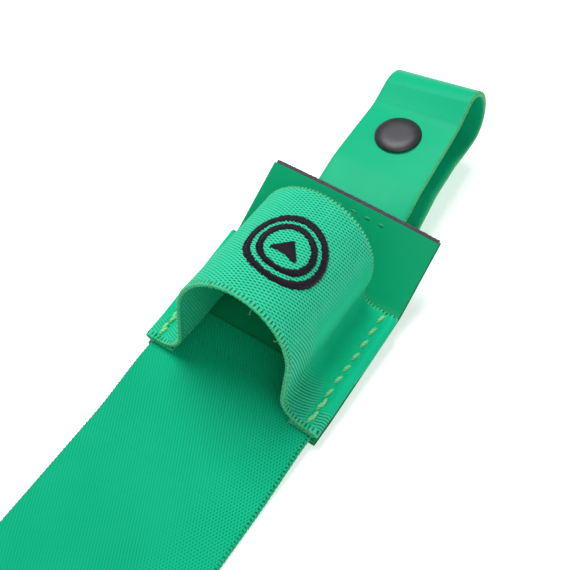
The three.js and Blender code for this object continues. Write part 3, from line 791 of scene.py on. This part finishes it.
def build_sleeve():
    # Cells lie closest where the section turns: the crest, the foot's bend and the flange.
    cell_steps = np.concatenate([
        np.linspace(0, 9, 55), np.linspace(9, 11, 10)[1:], np.linspace(11, 16, 30)[1:],
        np.linspace(16, 18, 22)[1:], np.linspace(18, 22, 9)[1:], np.linspace(22, 24, 5)[1:],
    ])
    cells = np.concatenate([-cell_steps[:0:-1], cell_steps])
    bands = np.linspace(0, SLEEVE_BAND, 191)
    ring = np.concatenate([cells, cells[::-1]])
    side = np.concatenate([np.ones(len(cells)), -np.ones(len(cells))])
    half = SLEEVE_THICKNESS / 2
    points, cloth = [], []
    for v in bands:
        t = v / SLEEVE_BAND
        edge = min(v, SLEEVE_BAND - v)
        thin = 0.62 + 0.38 * float(smooth(edge, 0, 0.6))
        reach = np.abs(ring)
        on_flange = (reach >= FLANGE_CELLS[0]) & (reach <= FLANGE_CELLS[1]) & (side > 0)
        (x, _, _, run), _ = sleeve_section(t, reach)
        run = np.sign(ring) * run
        openness = knit_open(run, reach, t)
        ribs = knit_relief(run, v, openness)
        pull = -0.14 - 0.26 * math.cos(2 * math.pi * (v - SEAM_INSET) / STITCH_PITCH)
        pucker = np.exp(-(((x - SEAM_X) / 0.8) ** 2)) * pull
        ridge = 0.3 * np.exp(-(((x - (FLANGE_EDGE - 1.3)) / 0.3) ** 2))
        height = side * half * thin + side * ribs + np.where(on_flange, pucker + ridge, 0)
        row, length = sleeve_points(ring, t, height)
        row[:, 2] += 0.1 * np.sin(length / 7 + 2) * math.sin(v / 8) * (1 - smooth(reach, 12, 16))
        points.append(row)
        cloth.append(np.stack([length, v + 0 * length, openness], axis=-1))
    faces, _ = closed_faces(len(bands), len(ring))
    sleeve = make_object("sleeve_cloth", np.array(points), faces, KNIT, np.array(cloth))
    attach(sleeve, "holder")
    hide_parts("sleeve")
    edges = [
        edge_piece("sleeve_edge_front", 0.0, 1),
        edge_piece("sleeve_edge_rear", SLEEVE_BAND, -1),
    ]
    last_cell = np.array([float(SECTION_CELLS)])
    lengths = [2 * sleeve_section(t, last_cell)[0][3][0] for t in (0.0, 1.0)]


def edge_piece(name, at, way):
    """A selvedge: a close row of thread loops over one edge of the sleeve's band."""
    half = SLEEVE_THICKNESS / 2
    profile = ((1.3, -0.08), (0.8, 0.04), (0.3, -0.02), (-0.04, -0.3), (-0.04, -0.85), (0.35, -1.1))
    t_edge = at / SLEEVE_BAND
    table = np.linspace(0, SECTION_CELLS, 400)
    lengths = sleeve_section(t_edge, table)[0][3]
    paths = []
    count = int(lengths[-1] / EDGE_PITCH)
    for number in range(-count, count + 1):
        if number == 0:
            continue
        path = []
        for k, (inset, drop) in enumerate(profile):
            along = (abs(number) - 0.5 + 0.22 * k / 5) * EDGE_PITCH
            cell = np.interp(along, lengths, table)
            t = np.clip((at + way * inset) / SLEEVE_BAND, 0, 1)
            p, _ = sleeve_points(np.array([math.copysign(cell, number)]), t, half + drop)
            p = p[0]
            if inset < 0:
                p[1] += way * inset
            path.append(p)
        paths.append(path)
    piece = tubes(name, paths, 0.12, LIME, sides=5)
    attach(piece, "holder")
    return piece


def build_fuzz():
    """A few loose fibres at the sleeve's mouth and rear corner."""
    rng = np.random.default_rng(11)
    paths = []
    for at, low, high, count in ((0.0, -3.0, 6.0, 12), (0.0, 14.0, 17.5, 16), (1.0, 2.0, 6.0, 6)):
        for _ in range(count):
            cell = rng.uniform(low, high)
            start, _ = sleeve_points(np.array([cell]), at, 0.5)
            drift = rng.normal(0, 1, 3) * (0.9, 0.6, 0.7)
            drift[2] -= 0.8
            steps = np.linspace(0, 1, 6)[:, None]
            curl = rng.uniform(-0.4, 0.4, (6, 3)) * steps
            paths.append(start[0] + drift * steps + curl)
    piece = tubes("sleeve_loose_fibres", paths, 0.06, LIME, sides=4)
    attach(piece, "holder")


# ---- belt loop -----------------------------------------------------------------------------
def loop_line():
    """The strip's middle line (y, z) from its sewn end round the fold to its free end."""
    sewn = [panel_point(0.0, s, -LIP_SLOT)[1:] for s in SEWN_STATIONS]
    snap = [(SNAP_Y + r, SNAP_Z + r * math.tan(SNAP_PITCH)) for r in SNAP_REACHES]
    angles = np.linspace(FOLD_START, -math.pi / 2, 37)
    arc = (FOLD_Y, FOLD_Z) + FOLD_RADIUS * np.stack([np.cos(angles), np.sin(angles)], -1)
    front = spline([*sewn, RISE_POINT, *snap, FOLD_RISE, tuple(arc[0])], 110)[:-1]
    tail_z = SNAP_Z - PLY_SPACING
    tail = spline([
        (FOLD_Y - 1, FOLD_Z - FOLD_RADIUS), (SNAP_Y + 12, tail_z - 1.3), (SNAP_Y + 6, tail_z + 0.1),
        (SNAP_Y, tail_z), (SNAP_Y - 7, tail_z - 7 * math.tan(SNAP_PITCH)), *TAIL_END,
    ], 85)
    turning = np.interp(angles, (-math.pi / 2, 0, FOLD_START), (1, 0.5, 0))
    rounds = np.concatenate([np.zeros(len(front)), turning, np.ones(len(tail))])
    cuts = (len(front), len(front) + len(arc) - 1)
    return np.concatenate([front, arc, tail]), rounds, cuts


def build_loop():
    line, rounds, cuts = loop_line()
    steps = np.arange(len(line))
    run = np.concatenate([[0], np.cumsum(np.hypot(*np.diff(line, axis=0).T))])
    tangent = np.stack([np.gradient(line[:, 0], run), np.gradient(line[:, 1], run)], -1)
    lip_end = float(panel_point(0.0, PANEL_END, 0.0)[1])
    along = np.clip((line[:, 0] - lip_end) / (FOLD_Y - lip_end), 0, 1)
    rising = smooth(line[:, 0], PANEL_CREASE, lip_end)
    crowned = rising * (1 - smooth(line[:, 0], lip_end, CROWN_END))
    turned = smooth(rounds, 0, 1)
    roll = LOOP_TWIST * along * (1 - turned) + TAIL_ROLL * turned
    shift = LOOP_SHIFT[0] + (LOOP_SHIFT[1] - LOOP_SHIFT[0]) * along + TAIL_SHIFT * turned
    crown = np.where(rounds > 0, 0, LIP_CROWN * crowned)

    def place(x, s, h):
        y, z = np.interp(s, steps, line[:, 0]), np.interp(s, steps, line[:, 1])
        ty, tz = np.interp(s, steps, tangent[:, 0]), np.interp(s, steps, tangent[:, 1])
        r = np.interp(s, steps, roll)
        lateral = np.stack([np.cos(r), 0 * r, np.sin(r)], -1)
        way = np.stack([0 * ty, ty, tz], -1)
        normal = np.cross(lateral, way)
        normal /= np.linalg.norm(normal, axis=-1)[..., None]
        middle = np.stack([np.interp(s, steps, shift), y, z], -1)
        sink = np.interp(s, steps, crown) * (2 * x / PANEL_WIDTH) ** 2
        return middle + lateral * x[..., None] + normal * (h - sink)[..., None]

    xs = np.linspace(-LOOP_WIDTH / 2 + 0.45, LOOP_WIDTH / 2 - 0.45, 29)
    names = ("loop_front_strip", "loop_fold_strip", "loop_tail_strip")
    spans = ((0, cuts[0]), (cuts[0], cuts[1]), (cuts[1], len(line) - 1))
    pieces = []
    for name, (first, last) in zip(names, spans):
        stations = np.linspace(first, last, (last - first) + 1)
        pieces.append(slab(
            name, xs, stations, LOOP_THICKNESS / 2, place, LOOP_VINYL, corner=0.45,
            rim_material=LOOP_EDGE, ends=(1.0, 1.0),
        ))
    front, fold, tail = pieces
    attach(front, "holder")
    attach(tail, "loop_tail")
    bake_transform(fold)
    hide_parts("loop_front_ply")
    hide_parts("loop_tail_ply")


# ---- press stud ----------------------------------------------------------------------------
def build_snap():
    dome = [
        (CAP_RADIUS * math.sin(a), 2.5 - 0.95 * math.sin(a) ** 5)
        for a in np.linspace(1.45, 0.0, 14)
    ]
    cap = [(0, -2.0), (1.5, -2.0), (1.5, 1.2), (6.3, 1.2), (CAP_RADIUS, 1.42), *dome]
    socket = [
        (1.9, -1.15), (5.4, -1.15), (5.4, -1.5), (5.2, -3.2), (4.6, -3.8), (2.8, -3.8),
        (2.8, -3.35), (3.6, -3.35), (3.6, -2.35), (1.9, -2.35),
    ]
    d = -PLY_SPACING
    stud = [
        (1.7, d + 1.25), (4.8, d + 1.25), (4.8, d + 1.9), (2.0, d + 2.1), (2.0, d + 2.9),
        (2.35, d + 3.5), (2.2, d + 4.0), (1.6, d + 4.35), (0, d + 4.4),
    ]
    post = [
        (0, d - 2.1), (4.0, d - 2.0), (4.6, d - 1.65), (4.6, d - 1.25), (1.4, d - 1.25),
        (1.4, d + 1.3),
    ]
    parts = (
        ("snap_cap_metal", cap, "holder", "snap_cap"),
        ("snap_socket_metal", socket, "holder", "snap_socket"),
        ("snap_stud_metal", stud, "loop_tail", "snap_stud"),
        ("snap_post_metal", post, "loop_tail", "snap_post"),
    )
    for name, profile, body, node in parts:
        piece = lathed(name, profile, GUNMETAL)
        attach(piece, body)
        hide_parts(node)
    path = [
        at_snap(SPRING_RADIUS * math.cos(a), SPRING_RADIUS * math.sin(a), -2.85)
        for a in np.radians(np.linspace(20, 340, 49))
    ]
    spring = tubes("snap_spring_wire", [path], 0.28, SPRING, sides=10, taper=1.0)
    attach(spring, "holder")
    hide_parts("snap_spring")
    # A near-black ring at the cap's edge: painted contact shadow.
    path = [
        at_snap(RIM_RADIUS * math.cos(a), RIM_RADIUS * math.sin(a), 1.3)
        for a in np.radians(np.linspace(0, 360, 73))
    ]
    rim = tubes("snap_cap_shadow_rim", [path], 0.22, RIM_SHADOW, sides=10, taper=1.0)
    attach(rim, "holder")


# ---- seams ---------------------------------------------------------------------------------
def stitch_paths(length, surface, cover=0.62, rise=0.3, dip=0.34, slant=0.0):
    """Stitches that come up out of the cloth and go back into it."""
    paths = []
    for k in range(round(length / STITCH_PITCH)):
        start = (k + (1 - cover) / 2) * STITCH_PITCH
        path = []
        for share in np.linspace(0, 1, 9):
            lift = -dip + (rise + dip) * math.sin(math.pi * share) ** 0.6
            path.append(surface(start + share * cover * STITCH_PITCH, lift, slant * (share - 0.5)))
        paths.append(path)
    return paths


def add_seam(name, paths, node, radius=0.54, body="holder", material=THREAD):
    piece = tubes(name, paths, radius, material, sides=8, taper=0.5)
    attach(piece, body)
    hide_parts(node)


def build_seams():
    for word, side in (("left", -1), ("right", 1)):
        def flange(d, lift, drift, side=side):
            t = (d + SEAM_INSET) / SLEEVE_BAND
            _, _, base = sleeve_parts(t)
            y = float(band_y(t))
            return (side * (SEAM_X + drift), y, base + SLEEVE_THICKNESS / 2 + lift)

        def flange_again(d, lift, drift, flange=flange):
            return flange(d + 1.2, lift + 0.12, drift + 0.35)

        paths = stitch_paths(SLEEVE_BAND - 2 * SEAM_INSET, flange, slant=0.7 * side)
        backstitch = stitch_paths(2 * STITCH_PITCH, flange_again)
        add_seam(f"side_seam_{word}_thread", paths + backstitch, f"side_seam_{word}")

    hem_top = 2 * STRAP_THICKNESS + GAP
    for word, inset in zip(("outer", "inner"), HEM_SEAM_INSETS):
        def row(d, lift, drift, inset=inset):
            return (d - HEM_SEAM_LENGTH / 2, STRAP_END_Y + inset + drift, hem_top + lift)

        paths = stitch_paths(HEM_SEAM_LENGTH, row)
        add_seam(f"hem_seam_{word}_thread", paths, f"hem_seam_{word}", 0.36, "strap_tip")

    strap_top = STRAP_BASE + STRAP_THICKNESS

    def cross(d, lift, drift):
        return panel_point(d - CROSS_SEAM_LENGTH / 2, CROSS_SEAM_Y + drift, strap_top + lift)

    paths = stitch_paths(CROSS_SEAM_LENGTH, cross, cover=0.2, rise=0.06)
    add_seam("strap_cross_seam_thread", paths, "strap_cross_seam", 0.2, material=BURIED)

    lowest = -LIP_SLOT - LOOP_THICKNESS / 2
    for word, inset in zip(("upper", "lower"), LOOP_SEAM_INSETS):
        s = PANEL_END - inset

        def above(d, lift, drift, s=s):
            return panel_point(d - LOOP_SEAM_LENGTH / 2, s + drift, PANEL_THICKNESS + lift)

        def below(d, lift, drift, s=s):
            return panel_point(d - LOOP_SEAM_LENGTH / 2, s + drift, lowest - lift)

        paths = stitch_paths(LOOP_SEAM_LENGTH, above, cover=0.42, rise=0.02, dip=0.3)
        add_seam(f"loop_seam_{word}_thread", paths, f"loop_seam_{word}", 0.32, material=BURIED)
        paths = stitch_paths(LOOP_SEAM_LENGTH, below, cover=0.6, rise=0.16)
        add_seam(f"loop_bobbin_{word}_thread", paths, f"loop_bobbin_{word}", 0.3)


# ---- emblem: two rings and a plain peak in satin stitch --------------------------------------
EMBLEM_T = 0.485              # the emblem's middle along the band, as a share of it
EMBLEM_X = 2.4                # and to the right of the crest
PEAK_FOOT, PEAK_HEIGHT, PEAK_WIDTH = -2.4, 5.4, 7.0
RINGS = (("outer", 9.6, 2.0), ("inner", 6.6, 1.8))  # name, radius and width
RING_PITCH = 0.36             # of the stitches round a ring
PEAK_PITCH = 0.34
EMBLEM_THREAD_RADIUS = 0.23


def on_crest(x, y, lift):
    """A point of the flat emblem wrapped round the sleeve's crest."""
    t = EMBLEM_T + y / SLEEVE_BAND
    parts, height, base = sleeve_parts(t)
    radius = -parts[0][0]
    turn = (x + EMBLEM_X) / radius
    reach = radius + SLEEVE_THICKNESS / 2 + lift
    middle = height - radius + radius * math.cos(turn)
    py = float(band_y(t)) + SLEEVE_LEAN * (middle - base)
    return (reach * math.sin(turn), py, height - radius + reach * math.cos(turn))


def satin(a, b, lift=0.42, dip=-0.12):
    """One satin stitch between two flat points, arched over the padding."""
    path = []
    for share in np.linspace(0, 1, 6):
        x, y = a[0] + (b[0] - a[0]) * share, a[1] + (b[1] - a[1]) * share
        path.append(on_crest(x, y, dip + (lift - dip) * math.sin(math.pi * share) ** 0.5))
    return path


def build_emblem():
    rng = np.random.default_rng(7)
    for word, radius, width in RINGS:
        count = round(2 * math.pi * radius / RING_PITCH)
        paths = []
        for k in range(count):
            angle = 2 * math.pi * k / count
            inner = radius - width / 2 + rng.uniform(-0.16, 0.16)
            outer = radius + width / 2 + rng.uniform(-0.16, 0.16)
            lean = 0.55 / radius
            a = (inner * math.cos(angle - lean), inner * math.sin(angle - lean))
            b = (outer * math.cos(angle + lean), outer * math.sin(angle + lean))
            paths.append(satin(a, b, 0.36 + 0.1 * rng.uniform()))
        name = f"emblem_{word}_stitches"
        piece = tubes(name, paths, EMBLEM_THREAD_RADIUS, EMBLEM_THREAD, sides=5)
        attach(piece, "holder")
        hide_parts(f"emblem_{word}_ring")
    paths = []
    for x in np.arange(-PEAK_WIDTH / 2 + 0.2, PEAK_WIDTH / 2, PEAK_PITCH):
        top = PEAK_FOOT + PEAK_HEIGHT * (1 - abs(x) / 4)
        paths.append(satin((x, PEAK_FOOT + rng.uniform(-0.12, 0.12)), (x + 0.15, top)))
    piece = tubes("emblem_peak_stitches", paths, EMBLEM_THREAD_RADIUS, EMBLEM_THREAD, sides=5)
    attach(piece, "holder")
    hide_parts("emblem_peak")


# ---- stage, in metres ----------------------------------------------------------------------
FLOOR_REACH = 3.0
FLOOR_Z = -0.0003


def add_light(name, place, size, power):
    data = bpy.data.lights.new(name, "AREA")
    data.shape = "DISK"
    data.size = size
    data.energy = power
    light = bpy.data.objects.new(name, data)
    light.location = place
    light.rotation_euler = (-Vector(place)).to_track_quat("-Z", "Y").to_euler()
    bpy.context.scene.collection.objects.link(light)


def build_stage():
    n = Nodes("floor", 0.9, specular=0.1)
    pale = n.blend(n.noise(3.0), (0.93, 0.935, 0.94, 1), (0.96, 0.96, 0.96, 1))
    n.finish(pale)
    n.shader.inputs["Emission Color"].default_value = (1, 1, 1, 1)
    n.shader.inputs["Emission Strength"].default_value = 0.4
    signs = ((-1, -1), (1, -1), (1, 1), (-1, 1))
    corners = [(FLOOR_REACH * x, FLOOR_REACH * y, FLOOR_Z) for x, y in signs]
    mesh = bpy.data.meshes.new("floor")
    mesh.from_pydata(corners, [], [(0, 1, 2, 3)])
    mesh.materials.append(n.material)
    floor = bpy.data.objects.new("floor", mesh)
    bpy.context.scene.collection.objects.link(floor)
    world = bpy.data.worlds.new("soft_daylight")
    world.use_nodes = True
    background = world.node_tree.nodes["Background"]
    background.inputs[0].default_value = (1, 1, 1, 1)
    background.inputs[1].default_value = 0.21
    bpy.context.scene.world = world
    add_light("key", (-0.3, 0.25, 0.85), 0.6, 8.7)
    add_light("fill", (0.5, -0.35, 0.8), 0.8, 3.4)
    bpy.context.scene.view_settings.view_transform = "Standard"


build_panel()
build_strap()
build_sleeve()
build_fuzz()
build_loop()
build_snap()
build_seams()
build_emblem()
build_stage()
